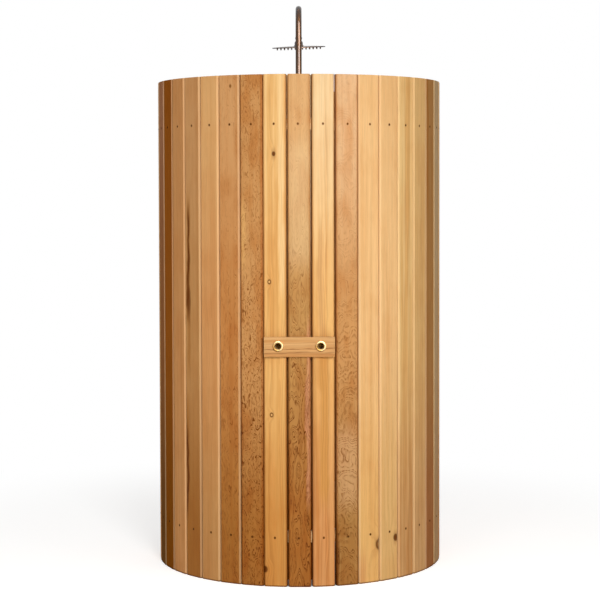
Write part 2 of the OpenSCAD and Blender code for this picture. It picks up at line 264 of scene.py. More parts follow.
def buildGrowthRings():
    tree, get = newGroup("growthRings", "ShaderNodeTree",
                         {"Vector": ["Place"],
                          "Float": ["Pith Across", "Pith Depth", "Taper", "Ring Width", "Swirl",
                                    "Swirl Width", "Swirl Length", "Wander", "Broken", "Seed", "Bend"]},
                         {"Float": ["Late Wood", "Fibre", "Band", "Blotch"]})
    traits = dict(drift=cedar["drift"], swirl=(get["Swirl Width"], get["Swirl Length"], cedar["swirlDetail"]),
                  dash=cedar["dash"], fibre=cedar["fibre"], band=cedar["band"], blotch=cedar["blotch"])
    noise = {}
    for step, (trait, (width, length, detail)) in enumerate(traits.items(), 1):
        noise[trait] = addNode(tree, "ShaderNodeGroup",
                               {"Place": get["Place"], "Width": width, "Length": length, "Detail": detail,
                                "Seed": get["Seed"], "Step": float(step)}, node_tree=stretchedNoise).outputs
    # the pith wanders slowly along the board
    drift = addNode(tree, "ShaderNodeVectorMath", {0: noise["drift"][1], 1: (0.5, 0.5, 0.5)},
                    operation="SUBTRACT")
    drift = addNode(tree, "ShaderNodeVectorMath", {0: drift, 3: get["Wander"]}, operation="SCALE")
    placed = addNode(tree, "ShaderNodeVectorMath", {0: get["Place"], 1: drift}, operation="ADD")
    axes = addNode(tree, "ShaderNodeSeparateXYZ", {0: placed}).outputs
    across = addNode(tree, "ShaderNodeMath", {0: axes[0], 1: get["Pith Across"]}, operation="SUBTRACT")
    pithDepth = addNode(tree, "ShaderNodeMath", {0: axes[2], 1: get["Taper"], 2: get["Pith Depth"]},
                        operation="MULTIPLY_ADD")
    depth = addNode(tree, "ShaderNodeMath", {0: pithDepth, 1: axes[1]}, operation="SUBTRACT")
    flat = addNode(tree, "ShaderNodeCombineXYZ", {0: across, 1: depth})
    distance = addNode(tree, "ShaderNodeVectorMath", {0: flat}, operation="LENGTH").outputs["Value"]
    # swirls turn plain arches into curly figure
    distance = addNode(tree, "ShaderNodeMath", {0: noise["swirl"][0], 1: get["Swirl"], 2: distance},
                       operation="MULTIPLY_ADD")
    bent = addNode(tree, "ShaderNodeMath", {0: distance, 1: get["Bend"]}, operation="ADD")
    phase = addNode(tree, "ShaderNodeMath", {0: bent, 1: get["Ring Width"]}, operation="DIVIDE")
    # good years and lean ones
    seeded = addNode(tree, "ShaderNodeMath", {0: phase, 1: get["Seed"]}, operation="ADD")
    uneven = addNode(tree, "ShaderNodeTexNoise", {"W": seeded, "Scale": cedar["unevenScale"], "Detail": 1.0},
                     noise_dimensions="1D")
    phase = addNode(tree, "ShaderNodeMath", {0: uneven, 1: cedar["uneven"], 2: phase},
                    operation="MULTIPLY_ADD")
    step = addNode(tree, "ShaderNodeMath", {0: phase}, operation="FRACT")
    rise = addNode(tree, "ShaderNodeMapRange",
                   {"Value": step, "From Min": cedar["rise"][0], "From Max": cedar["rise"][1]}, **eased)
    drop = addNode(tree, "ShaderNodeMapRange",
                   {"Value": step, "From Min": cedar["drop"][0], "From Max": cedar["drop"][1],
                    "To Min": 1.0, "To Max": 0.0}, **eased)
    line = addNode(tree, "ShaderNodeMath", {0: rise, 1: drop}, operation="MULTIPLY")
    count = addNode(tree, "ShaderNodeMath", {0: phase}, operation="FLOOR")
    year = addNode(tree, "ShaderNodeTexWhiteNoise", {"W": count}, noise_dimensions="1D")
    weight = addNode(tree, "ShaderNodeMath", {0: year, 1: 1.0 - cedar["leanYear"], 2: cedar["leanYear"]},
                     operation="MULTIPLY_ADD")
    line = addNode(tree, "ShaderNodeMath", {0: line, 1: weight}, operation="MULTIPLY")
    # the lines break into dashes where the fibres dip through the face
    least = addNode(tree, "ShaderNodeMath", {0: 1.0, 1: get["Broken"]}, operation="SUBTRACT")
    most = addNode(tree, "ShaderNodeMath", {0: 1.0, 1: get["Broken"]}, operation="ADD")
    dash = addNode(tree, "ShaderNodeMapRange",
                   {"Value": noise["dash"][0], "From Min": cedar["dips"][0], "From Max": cedar["dips"][1],
                    "To Min": least, "To Max": most}, **eased)
    line = addNode(tree, "ShaderNodeMath", {0: line, 1: dash}, operation="MULTIPLY")
    addNode(tree, "NodeGroupOutput", {"Late Wood": line, "Fibre": noise["fibre"][0],
                                      "Band": noise["band"][0], "Blotch": noise["blotch"][0]})
    return tree


growthRings = buildGrowthRings()

# early wood of a board under clear oil
tones = dict(
    chalk="#f9e0b4", cream="#e9c691", oat="#e1c08e", butter="#e4bd80", straw="#e3b67d", gold="#dcab68",
    wheat="#d8ac6e", honey="#d7a46a", tan="#c8945f", rose="#d6aa7b", sand="#cc9d66", amber="#ce935a",
    ochre="#c48a46", clay="#c08c54", russet="#bc7f45", chestnut="#a2682c", moss="#a67840",
    umber="#b28348", blush="#c98a66", dusk="#b69566", slate="#ac8450", bark="#ac7c48", rust="#a66d42",
    terracotta="#bc8562", loam="#7e552c", walnut="#a05c1e", peat="#8c5014", heart="#683406",
)

# how a board was sawn: pith across and deep, taper, ring width, swirl (strength, width, length) and
# wander in mm, and how strongly late wood (at head and foot), breaks, bands and blotches show
figures = dict(
    plain=dict(pith=(160, 90), taper=5, ring=11, swirl=(10, 17, 62), wander=24, late=(0.08, 0.14),
               broken=0.2, band=0.25, blotch=0.2),
    straight=dict(pith=(230, 60), taper=6, ring=15, swirl=(8, 17, 90), wander=50, late=(0.14, 0.22),
                  broken=0.0, band=0.55, blotch=0.2),
    rift=dict(pith=(95, 50), taper=9, ring=7, swirl=(46, 20, 60), wander=30, late=(0.16, 0.42),
              broken=0.9, band=0.3, blotch=0.4),
    arched=dict(pith=(5, 34), taper=14, ring=6.5, swirl=(125, 34, 130), wander=40, late=(0.16, 1.0),
                broken=0.45, band=0.3, blotch=0.5),
    crescent=dict(pith=(-6, 30), taper=330, ring=6.5, swirl=(54, 38, 56), wander=30, late=(0.12, 0.6),
                  broken=0.6, band=0.3, blotch=0.5),
    curly=dict(pith=(8, 50), taper=16, ring=5, swirl=(90, 24, 54), wander=44, late=(0.35, 0.8),
               broken=0.8, band=0.3, blotch=0.6),
)

# shares of a knot's size: where each part starts to fade and where it ends, then how far it covers
knotLook = dict(
    squash=0.75, tailSquash=0.9, bendReach=2.6, bend=1.1,
    halo=(0.2, 1.1, 0.45), rim=(0.45, 0.72, 0.9), heart=(0.18, 0.4, 0.9),
)

# strips wind with the blotches and the fibre; centre takes out the mean of that winding, in mm
stripLook = dict(slowWind=30 * mm, fineWind=16 * mm, centre=23, core=0.3, fade=110)

# the ring round each screw is a painted shade of its countersink; the colour also tints a knot's rim
stainAndShadeLook = dict(colour="#5c300c", squash=0.85, inner=3.0 * mm, outer=5.4 * mm, cover=0.75)

edgeLook = dict(
    flatHalf=35.6 * mm, width=1.5 * mm,
    # a painted highlight on the chamfers of the staves that turn to the light
    rubbed=dict(colour="#f2d2a4", share=0.28, blend="MIX"),
    # darker sawn sides, and painted shade in the joints between the staves
    sawnAndShaded=dict(colour="#d8a468", share=0.35, blend="MULTIPLY"),
    # the dark foot is wet end grain and a painted contact shadow where it stands on the floor
    footWetShade="#5a3412", footWetShadeFrom=2 * mm, footWetShadeTo=7 * mm, footWetShadeShare=0.8,
)


def grainSpace(tree, coords, place, rotation, hoopRadius):
    # across, into and along the grain
    local = addNode(tree, "ShaderNodeMapping",
                    {"Vector": coords["Object"], "Location": place, "Rotation": rotation},
                    vector_type="TEXTURE")
    if hoopRadius:
        # a hoop's grain runs round the wall's axis
        parts = addNode(tree, "ShaderNodeSeparateXYZ", {0: local}).outputs
        ahead = addNode(tree, "ShaderNodeMath", {0: parts[1], 1: -1.0}, operation="MULTIPLY")
        turn = addNode(tree, "ShaderNodeMath", {0: parts[0], 1: ahead}, operation="ARCTAN2")
        flat = addNode(tree, "ShaderNodeCombineXYZ", {0: parts[0], 1: parts[1]})
        outward = addNode(tree, "ShaderNodeVectorMath", {0: flat}, operation="LENGTH").outputs["Value"]
        sunk = addNode(tree, "ShaderNodeMath", {0: hoopRadius, 1: outward}, operation="SUBTRACT")
        roundWall = addNode(tree, "ShaderNodeMath", {0: turn, 1: hoopRadius}, operation="MULTIPLY")
        local = addNode(tree, "ShaderNodeCombineXYZ", {0: parts[2], 1: sunk, 2: roundWall})
    return local.outputs[0]


def knotFields(tree, local, knots):
    # how far all the knots push the rings aside, and the distances from each of them
    bend, fields = 0.0, []
    for across, height, size, tail, heart in knots:
        gap = addNode(tree, "ShaderNodeVectorMath", {0: local, 1: (across * mm, 0, height * mm)},
                      operation="SUBTRACT")
        closeBy = addNode(tree, "ShaderNodeVectorMath", {0: gap, 1: (1, 0, knotLook["squash"])},
                          operation="MULTIPLY")
        near = addNode(tree, "ShaderNodeVectorMath", {0: closeBy}, operation="LENGTH").outputs["Value"]
        longer = addNode(tree, "ShaderNodeVectorMath", {0: gap, 1: (1, 0, knotLook["tailSquash"] / tail)},
                         operation="MULTIPLY")
        spread = addNode(tree, "ShaderNodeVectorMath", {0: longer}, operation="LENGTH").outputs["Value"]
        push = addNode(tree, "ShaderNodeMapRange",
                       {"Value": spread, "From Max": size * mm * knotLook["bendReach"],
                        "To Min": size * mm * knotLook["bend"], "To Max": 0.0}, **eased)
        bend = addNode(tree, "ShaderNodeMath", {0: push, 1: bend}, operation="ADD")
        fields.append((near, spread, size * mm, heart))
    return bend, fields


def boardTone(tree, board, look, rings, along):
    # the tone drifts from head to foot, under bands and blotches of tint
    head, middle, foot = [linearColour(tones[tone]) for tone in board["tones"]]
    rise = addNode(tree, "ShaderNodeMapRange",
                   {"Value": along[2], "From Min": cedar["toneSpan"][0], "From Max": cedar["toneSpan"][1]})
    drift = addNode(tree, "ShaderNodeValToRGB", {0: rise})
    drift.color_ramp.interpolation = "EASE"
    drift.color_ramp.elements[0].color = foot
    drift.color_ramp.elements[1].color = head
    drift.color_ramp.elements.new(0.5).color = middle
    bands = addNode(tree, "ShaderNodeValToRGB", {0: rings["Band"]})
    first, last = bands.color_ramp.elements
    first.position, first.color = cedar["bandSpan"][0], linearColour(cedar["pink"])
    last.position, last.color = cedar["bandSpan"][1], linearColour(cedar["ochre"])
    bands.color_ramp.elements.new(0.5).color = (1, 1, 1, 1)
    colour = addNode(tree, "ShaderNodeMix", {0: look["band"], 6: drift, 7: bands}, data_type="RGBA",
                     blend_type="MULTIPLY").outputs[2]
    cloud = addNode(tree, "ShaderNodeMapRange",
                    {"Value": rings["Blotch"], "From Min": cedar["blotchSpan"][0],
                     "From Max": cedar["blotchSpan"][1], "To Max": look["blotch"]}, **eased)
    return addNode(tree, "ShaderNodeMix", {0: cloud, 6: colour, 7: linearColour(cedar["ochre"])},
                   data_type="RGBA", blend_type="MULTIPLY").outputs[2]


def addStrips(tree, colour, strips, rings, along):
    # strips of another tone that wind along the grain
    winding = addNode(tree, "ShaderNodeMath", {0: rings["Blotch"], 1: stripLook["slowWind"], 2: along[0]},
                      operation="MULTIPLY_ADD")
    winding = addNode(tree, "ShaderNodeMath", {0: rings["Fibre"], 1: stripLook["fineWind"], 2: winding},
                      operation="MULTIPLY_ADD")
    for offset, half, low, high, tone, cover in strips:
        aside = addNode(tree, "ShaderNodeMath", {0: winding, 1: (offset + stripLook["centre"]) * mm},
                        operation="SUBTRACT")
        aside = addNode(tree, "ShaderNodeMath", {0: aside}, operation="ABSOLUTE")
        edge = addNode(tree, "ShaderNodeMapRange",
                       {"Value": aside, "From Min": half * stripLook["core"] * mm, "From Max": half * mm,
                        "To Min": cover, "To Max": 0.0}, **eased)
        start = addNode(tree, "ShaderNodeMapRange",
                        {"Value": along[2], "From Min": low * mm, "From Max": (low + stripLook["fade"]) * mm},
                        **eased)
        end = addNode(tree, "ShaderNodeMapRange",
                      {"Value": along[2], "From Min": (high - stripLook["fade"]) * mm, "From Max": high * mm,
                       "To Min": 1.0, "To Max": 0.0}, **eased)
        strip = addNode(tree, "ShaderNodeMath", {0: edge, 1: start}, operation="MULTIPLY")
        strip = addNode(tree, "ShaderNodeMath", {0: strip, 1: end}, operation="MULTIPLY")
        colour = addNode(tree, "ShaderNodeMix", {0: strip, 6: colour, 7: linearColour(tones[tone])},
                         data_type="RGBA").outputs[2]
    return colour


def addScrewShades(tree, colour, local, screws):
    # a painted shade of the countersink darkens the wood round each screw
    for across, height in screws:
        gap = addNode(tree, "ShaderNodeVectorMath", {0: local, 1: (across, 0, height)}, operation="SUBTRACT")
        gap = addNode(tree, "ShaderNodeVectorMath", {0: gap, 1: (1, 0, stainAndShadeLook["squash"])},
                      operation="MULTIPLY")
        gap = addNode(tree, "ShaderNodeVectorMath", {0: gap}, operation="LENGTH").outputs["Value"]
        paintedShade = addNode(tree, "ShaderNodeMapRange",
                        {"Value": gap, "From Min": stainAndShadeLook["inner"], "From Max": stainAndShadeLook["outer"],
                         "To Min": stainAndShadeLook["cover"], "To Max": 0.0}, **eased)
        colour = addNode(tree, "ShaderNodeMix", {0: paintedShade, 6: colour, 7: linearColour(stainAndShadeLook["colour"])},
                         data_type="RGBA").outputs[2]
    return colour


def addKnots(tree, colour, knots):
    # a heart in a dark rim, in a stained halo
    for near, spread, size, heart in knots:
        for part, distance, tint, blend in (("halo", spread, cedar["lateWood"], "MULTIPLY"),
                                            ("rim", near, stainAndShadeLook["colour"], "MIX"),
                                            ("heart", near, tones[heart], "MIX")):
            inner, outer, cover = knotLook[part]
            mask = addNode(tree, "ShaderNodeMapRange",
                           {"Value": distance, "From Min": size * inner, "From Max": size * outer,
                            "To Min": cover, "To Max": 0.0}, **eased)
            colour = addNode(tree, "ShaderNodeMix", {0: mask, 6: colour, 7: linearColour(tint)},
                             data_type="RGBA", blend_type=blend).outputs[2]
    return colour


def addEdgeTintsAndPaintedLight(tree, colour, gloss, edges, along):
    # the edges take a painted highlight on the chamfers that turn to the light, or a darker sawn tint with painted
    # shade in the joints, and take no gloss
    aside = addNode(tree, "ShaderNodeMath", {0: along[0]}, operation="ABSOLUTE")
    edge = addNode(tree, "ShaderNodeMapRange",
                   {"Value": aside, "From Min": edgeLook["flatHalf"],
                    "From Max": edgeLook["flatHalf"] + edgeLook["width"]}, **eased)
    share = addNode(tree, "ShaderNodeMath", {0: edge, 1: edges["share"]}, operation="MULTIPLY")
    colour = addNode(tree, "ShaderNodeMix", {0: share, 6: colour, 7: linearColour(edges["colour"])},
                     data_type="RGBA", blend_type=edges["blend"]).outputs[2]
    if gloss:
        gloss = addNode(tree, "ShaderNodeMapRange", {"Value": edge, "To Min": gloss, "To Max": 0.0})
    # the foot draws up water and stays dark, and takes a painted contact shadow as well
    footWetShade = addNode(tree, "ShaderNodeMapRange",
                  {"Value": along[2], "From Min": edgeLook["footWetShadeFrom"], "From Max": edgeLook["footWetShadeTo"],
                   "To Min": edgeLook["footWetShadeShare"], "To Max": 0.0}, **eased)
    colour = addNode(tree, "ShaderNodeMix", {0: footWetShade, 6: colour, 7: linearColour(edgeLook["footWetShade"])},
                     data_type="RGBA").outputs[2]
    return colour, gloss


def cedarMaterial(name, place, rotation, board, screws=(), hoopRadius=None, edges=None):
    material, tree = newMaterial(name)
    look = figures[board["figure"]]
    seed = board["seed"]
    coords = addNode(tree, "ShaderNodeTexCoord").outputs
    local = grainSpace(tree, coords, place, rotation, hoopRadius)
    along = addNode(tree, "ShaderNodeSeparateXYZ", {0: local}).outputs
    bend, knots = knotFields(tree, local, board.get("knots", ()))
    strength, swirlWidth, swirlLength = look["swirl"]
    rings = addNode(tree, "ShaderNodeGroup",
                    {"Place": local, "Pith Across": look["pith"][0] * mm * (1 if seed % 2 else -1),
                     "Pith Depth": look["pith"][1] * mm, "Taper": look["taper"] * mm,
                     "Ring Width": look["ring"] * mm, "Swirl": strength * mm,
                     "Swirl Width": swirlWidth * mm, "Swirl Length": swirlLength * mm,
                     "Wander": look["wander"] * mm, "Broken": look["broken"], "Seed": float(seed),
                     "Bend": bend}, node_tree=growthRings).outputs

    colour = boardTone(tree, board, look, rings, along)
    colour = addStrips(tree, colour, board.get("strips", ()), rings, along)
    late = addNode(tree, "ShaderNodeMapRange",
                   {"Value": along[2], "From Min": cedar["lateSpan"][0], "From Max": cedar["lateSpan"][1],
                    "To Min": look["late"][1], "To Max": look["late"][0]}, **eased)
    late = addNode(tree, "ShaderNodeMath", {0: late, 1: rings["Late Wood"]}, operation="MULTIPLY")
    colour = addNode(tree, "ShaderNodeMix", {0: late, 6: colour, 7: linearColour(cedar["lateWood"])},
                     data_type="RGBA", blend_type="MULTIPLY").outputs[2]
    colour = addScrewShades(tree, colour, local, screws)
    colour = addKnots(tree, colour, knots)

    if not hoopRadius and rotation[1] == 0:
        # upright, and its end grain drinks the oil and turns darker
        facing = addNode(tree, "ShaderNodeSeparateXYZ", {0: coords["Normal"]}).outputs[2]
        ends = addNode(tree, "ShaderNodeMath", {0: facing}, operation="ABSOLUTE")
        ends = addNode(tree, "ShaderNodeMath", {0: ends, 1: cedar["endGrain"]}, operation="MULTIPLY")
        colour = addNode(tree, "ShaderNodeMix", {0: ends, 6: colour, 7: linearColour(cedar["lateWood"])},
                         data_type="RGBA", blend_type="MULTIPLY").outputs[2]
    gloss = board.get("gloss", cedar["gloss"])
    if edges:
        colour, gloss = addEdgeTintsAndPaintedLight(tree, colour, gloss, edgeLook[edges], along)

    shade, roughness, spread = cedar["fibreShade"], cedar["roughness"], cedar["fibreRoughness"]
    level = addNode(tree, "ShaderNodeMapRange",
                    {"Value": rings["Fibre"], "To Min": 1.0 - shade, "To Max": 1.0 + shade})
    level = addNode(tree, "ShaderNodeCombineXYZ", {0: level, 1: level, 2: level})
    colour = addNode(tree, "ShaderNodeMix", {0: 1.0, 6: colour, 7: level}, data_type="RGBA",
                     blend_type="MULTIPLY").outputs[2]
    rough = addNode(tree, "ShaderNodeMapRange",
                    {"Value": rings["Fibre"], "To Min": roughness - spread, "To Max": roughness + spread})
    rough = addNode(tree, "ShaderNodeMath", {0: rings["Late Wood"], 1: cedar["latePolish"], 2: rough},
                    operation="MULTIPLY_ADD")
    height = addNode(tree, "ShaderNodeMath",
                     {0: rings["Late Wood"], 1: cedar["lateRelief"], 2: rings["Fibre"]},
                     operation="MULTIPLY_ADD")
    bump = addNode(tree, "ShaderNodeBump",
                   {"Height": height, "Distance": cedar["relief"], "Strength": cedar["bumpStrength"]})
    shader = addNode(tree, "ShaderNodeBsdfPrincipled",
                     {"Base Color": colour, "Roughness": rough, "IOR": cedar["ior"],
                      "Specular IOR Level": gloss, "Normal": bump})
    addNode(tree, "ShaderNodeOutputMaterial", {"Surface": shader})
    return material


# staves counted from the plumbing stave, to the right: tones of head, middle and foot, how it was
# sawn, knots as (across, height, size, tail, heart) and strips as (across, half width, low, high,
# tone, cover), in mm
staves = {
    -8: dict(tones=("terracotta", "rust", "loam"), figure="plain", gloss=0.0),
    -7: dict(tones=("walnut", "walnut", "peat"), figure="plain", gloss=0.0),
    -6: dict(tones=("amber", "amber", "amber"), figure="plain", gloss=0.02),
    -5: dict(tones=("tan", "clay", "chestnut"), figure="plain",
             strips=((-22, 15, 700, 1440, "chestnut", 0.6), (-22, 8, 900, 1400, "heart", 1.0),
                     (-15, 6, 900, 1150, "heart", 0.7), (-30, 15, 120, 700, "chestnut", 0.7),
                     (-31, 8, 180, 600, "heart", 1.0))),
    -4: dict(tones=("honey", "amber", "clay"), figure="plain"),
    -3: dict(tones=("tan", "russet", "chestnut"), figure="rift", knots=((8, 1790, 7, 1.5, "chestnut"),)),
    -2: dict(tones=("clay", "clay", "chestnut"), figure="curly",
             strips=((-34, 16, 1100, 1420, "gold", 0.5),)),
    -1: dict(tones=("butter", "gold", "ochre"), figure="straight",
             knots=((-3, 1547, 11, 2.4, "heart"), (-20, 1092, 11, 1.1, "gold"),
                    (-13, 617, 11, 1.1, "gold"), (-38, 62, 15, 1.1, "heart")),
             strips=((6, 9, 200, 1500, "ochre", 0.45), (25, 13, 1000, 1900, "cream", 0.5))),
    0: dict(tones=("sand", "umber", "chestnut"), figure="arched",
            strips=((33, 12, 250, 1000, "blush", 0.55), (0, 60, 1100, 1640, "oat", 0.34))),
    1: dict(tones=("oat", "gold", "amber"), figure="straight",
            strips=((-10, 14, 700, 1350, "clay", 0.6), (2, 24, 250, 950, "ochre", 0.9))),
    2: dict(tones=("rose", "clay", "moss"), figure="crescent",
            strips=((-36, 8, -120, 240, "heart", 0.7), (0, 60, 230, 620, "rose", 0.4))),
    3: dict(tones=("straw", "straw", "gold"), figure="plain", knots=((41, 137, 26, 1.3, "moss"),),
            strips=((-30, 18, -120, 150, "amber", 0.7),)),
    4: dict(tones=("straw", "straw", "wheat"), figure="plain", knots=((30, 152, 17, 1.8, "heart"),)),
    5: dict(tones=("butter", "butter", "sand"), figure="straight",
            strips=((0, 12, 1150, 1500, "sand", 0.3),)),
    6: dict(tones=("wheat", "wheat", "sand"), figure="plain"),
    7: dict(tones=("bark", "bark", "rust"), figure="plain", gloss=0.0,
            strips=((-26, 12, 1300, 2000, "walnut", 0.5),)),
    8: dict(tones=("dusk", "dusk", "slate"), figure="plain", gloss=0.02),
}
others = [(("honey", "amber", "clay"), "rift"), (("amber", "clay", "russet"), "straight"),
          (("straw", "gold", "ochre"), "plain"), (("sand", "clay", "chestnut"), "arched"),
          (("honey", "amber", "amber"), "straight"), (("clay", "clay", "chestnut"), "curly"),
          (("cream", "gold", "ochre"), "rift")]
hoop = dict(tones=("cream", "cream", "cream"), figure="straight")
supplyBoard = dict(tones=("sand", "sand", "sand"), figure="straight", seed=51,
                   strips=((10, 2.6, -300, 300, "heart", 0.55), (23, 2.2, -300, 300, "heart", 0.4)))
# the riser board's pale head over a dark foot is painted light, falling into the joints from the open top
riserBoard = dict(tones=("chalk", "amber", "walnut"), figure="straight", gloss=0.0, seed=52)

# screws stand a little to one side of the middle of each stave
screwRow = dict(sway=3.5 * mm, wobble=7.3)


def dressWall():
    for number in range(1, wall["staves"] + 1):
        turn = number - wall["plumbingStave"]
        if turn in staves:
            board = dict(staves[turn], seed=turn + 16)
            # staves that turn to the light take a painted highlight on their edges, the rest darker sawn edges
            # with painted shade in the joints
            edges = "rubbed" if abs(turn) > 2 else "sawnAndShaded"
        else:
            mixed, figure = others[number % len(others)]
            board = dict(tones=mixed, figure=figure, seed=number + 40)
            edges = "sawnAndShaded"
        angle = turn * pitch
        face = wallAxis + wall["outerRadius"] * Vector((math.sin(angle), -math.cos(angle), 0))
        shift = screwRow["sway"] * math.sin(screwRow["wobble"] * number)
        dress("stave_%02d" % number,
              cedarMaterial("planed oiled red cedar stave %02d" % number, face, (0, 0, angle), board,
                            [(shift, lowHoop), (shift, highHoop)], edges=edges))
    for name, seed in (("bottom_hoop", 41), ("top_hoop", 42)):
        low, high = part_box(name)
        dress(name, cedarMaterial("planed pale cedar " + name,
                                  (wallAxis.x, wallAxis.y, (low.z + high.z) / 2), (0, 0, 0),
                                  dict(hoop, seed=seed), hoopRadius=wall["innerRadius"]))
    low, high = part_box("supply_board")
    dress("supply_board",
          cedarMaterial("planed red cedar board", ((low.x + high.x) / 2, low.y, (low.z + high.z) / 2),
                        (0, math.pi / 2, 0), supplyBoard))
    low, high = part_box("riser_board")
    dress("riser_board",
          cedarMaterial("planed red cedar riser board", ((low.x + high.x) / 2, low.y, 0), (0, 0, 0),
                        riserBoard))


dressWall()
print("cedar dressed")


# ---- metals ----
metalLooks = dict(
    # pale gold with a soft lamp mark, and brown painted shade on the side of the rosettes away from the light and
    # in their throats
    brass=dict(name="turned bare brass", colour="#c8ae80", dull="#a98a58", edge="#d8c8a4",
               roughness=0.5, cloud=22 * mm, detail=2.0, relief=0.01 * mm, coat=0.0, paintedShade="#8e6a38"),
    # unpolished, and made darker as painted shade for the bore deep in the wall
    union=dict(name="cast brass left dark", colour="#6e4f28", dull="#3a2812", edge="#8a7a60",
               roughness=0.42, cloud=12 * mm, detail=3.0, relief=0.05 * mm, coat=0.0),
    # brown black with copper where the oil was rubbed thin, under a thin wax
    bronze=dict(name="oil-rubbed bronze", colour="#452c16", dull="#301d0e", edge="#2c1e14",
                roughness=0.45, cloud=70 * mm, detail=1.0, relief=0.0, coat=0.6),
    # worn by the driver
    screw=dict(name="bronzed steel screw", colour="#56300f", dull="#2c1708", edge="#2a1a0c",
               roughness=0.5, cloud=3 * mm, detail=2.0, relief=0.02 * mm, coat=0.0),
)

# what all the metals share: where the dull clouds start and end and how far they cover
clouding = dict(start=0.42, end=0.72, cover=0.6, roughness=0.15)
castGrain = dict(perMetre=900.0, detail=2.0, strength=0.4)
waxRoughness = 0.14


def metalMaterial(look):
    material, tree = newMaterial(look["name"])
    coords = addNode(tree, "ShaderNodeTexCoord").outputs["Object"]
    cloud = addNode(tree, "ShaderNodeTexNoise",
                    {"Vector": coords, "Scale": 1 / look["cloud"], "Detail": look["detail"]})
    mask = addNode(tree, "ShaderNodeMapRange",
                   {"Value": cloud, "From Min": clouding["start"], "From Max": clouding["end"],
                    "To Min": 0.0, "To Max": clouding["cover"]}, **eased)
    colour = addNode(tree, "ShaderNodeMix",
                     {0: mask, 6: linearColour(look["colour"]), 7: linearColour(look["dull"])},
                     data_type="RGBA").outputs[2]
    # the rosettes carry a painted shade on one side, held in a mesh attribute
    if "paintedShade" in look:
        sideShade = addNode(tree, "ShaderNodeAttribute", attribute_name="oneSideShade").outputs["Fac"]
        colour = addNode(tree, "ShaderNodeMix", {0: sideShade, 6: colour, 7: linearColour(look["paintedShade"])},
                         data_type="RGBA").outputs[2]
    rough = addNode(tree, "ShaderNodeMath", {0: mask, 1: clouding["roughness"], 2: look["roughness"]},
                    operation="MULTIPLY_ADD")
    surface = {"Base Color": colour, "Roughness": rough, "Metallic": 1.0, "Coat Weight": look["coat"],
               "Specular Tint": linearColour(look["edge"]), "Coat Roughness": waxRoughness}
    if look["relief"]:
        grain = addNode(tree, "ShaderNodeTexNoise",
                        {"Vector": coords, "Scale": castGrain["perMetre"], "Detail": castGrain["detail"]})
        surface["Normal"] = addNode(tree, "ShaderNodeBump",
                                    {"Height": grain, "Distance": look["relief"],
                                     "Strength": castGrain["strength"]})
    shader = addNode(tree, "ShaderNodeBsdfPrincipled", surface)
    addNode(tree, "ShaderNodeOutputMaterial", {"Surface": shader})
    return material


metals = {key: metalMaterial(look) for key, look in metalLooks.items()}
for name in ("hot_inlet", "cold_inlet"):
    dress(name, metals["brass"])
dress("supply_unions", metals["union"])
for name in ("mixer_body", "hot_handle", "cold_handle", "shower_pipe", "pipe_bracket", "ball_connector",
             "swivel_nut", "rain_head"):
    dress(name, metals["bronze"])
print("metals dressed")


# ---- rosettes of the inlets ----
# turned to a low crown that rolls into the bore, and flat at the back
rosetteLook = dict(
    around=64, seat=0.15,
    # (radius, how far it stands before the flange) in mm
    profile=[(19.0, 0.0), (18.9, 0.7), (18.2, 1.7), (16.9, 2.5), (15.3, 2.8), (13.6, 2.4), (12.3, 1.2),
             (11.4, -0.4), (9.4, -5.0), (9.2, -7.0), (11.4, -7.0), (11.6, 0.0)],
    # painted shade on the lower left of the crown, away from the light, and on the upper right down in the throat
    throat=12, shadeAcross=-0.75, shadeUp=-0.55, crownShade=0.25, throatShade=0.6,
)


def buildRosettes():
    bm = bmesh.new()
    paintedShade = bm.verts.layers.float.new("oneSideShade")
    around = rosetteLook["around"]
    for name in ("hot_inlet", "cold_inlet"):
        low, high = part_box(name)
        centre = (low + high) / 2
        rings = []
        for radius, proud in rosetteLook["profile"]:
            rings.append([])
            for i in range(around):
                across, up = math.cos(math.tau * i / around), math.sin(math.tau * i / around)
                vert = bm.verts.new((centre.x + radius * mm * across,
                                     low.y - (proud + rosetteLook["seat"]) * mm,
                                     centre.z + radius * mm * up))
                # painted shade, on the crown's lower left and in the throat's upper right
                shaded = rosetteLook["shadeAcross"] * across + rosetteLook["shadeUp"] * up
                if radius > rosetteLook["throat"]:
                    shaded = rosetteLook["crownShade"] + shaded
                else:
                    shaded = rosetteLook["throatShade"] - shaded
                vert[paintedShade] = max(0.0, min(1.0, shaded))
                rings[-1].append(vert)
        for a, b in zip(rings, rings[1:] + rings[:1]):
            for i in range(around):
                j = (i + 1) % around
                bm.faces.new((a[i], a[j], b[j], b[i])).smooth = True
    bmesh.ops.recalc_face_normals(bm, faces=bm.faces)
    mesh = bpy.data.meshes.new("inlet_rosettes")
    bm.to_mesh(mesh)
    bm.free()
    addPiece("inlet_rosettes", mesh, "cabin", metals["brass"])


# ---- screws and nozzles, by geometry nodes ----
screwLook = dict(
    radius=3.3 * mm, rise=0.8 * mm, recess=1.4 * mm, slot=0.7 * mm, around=24, seed=7,
    # (share of the radius, share of the rise) from the rim to the crown
    dome=((1.0, -0.4), (1.0, 0.25), (0.93, 0.55), (0.75, 0.85), (0.5, 1.0)),
    recessFloor=-0.2, recessTaper=0.8,
)


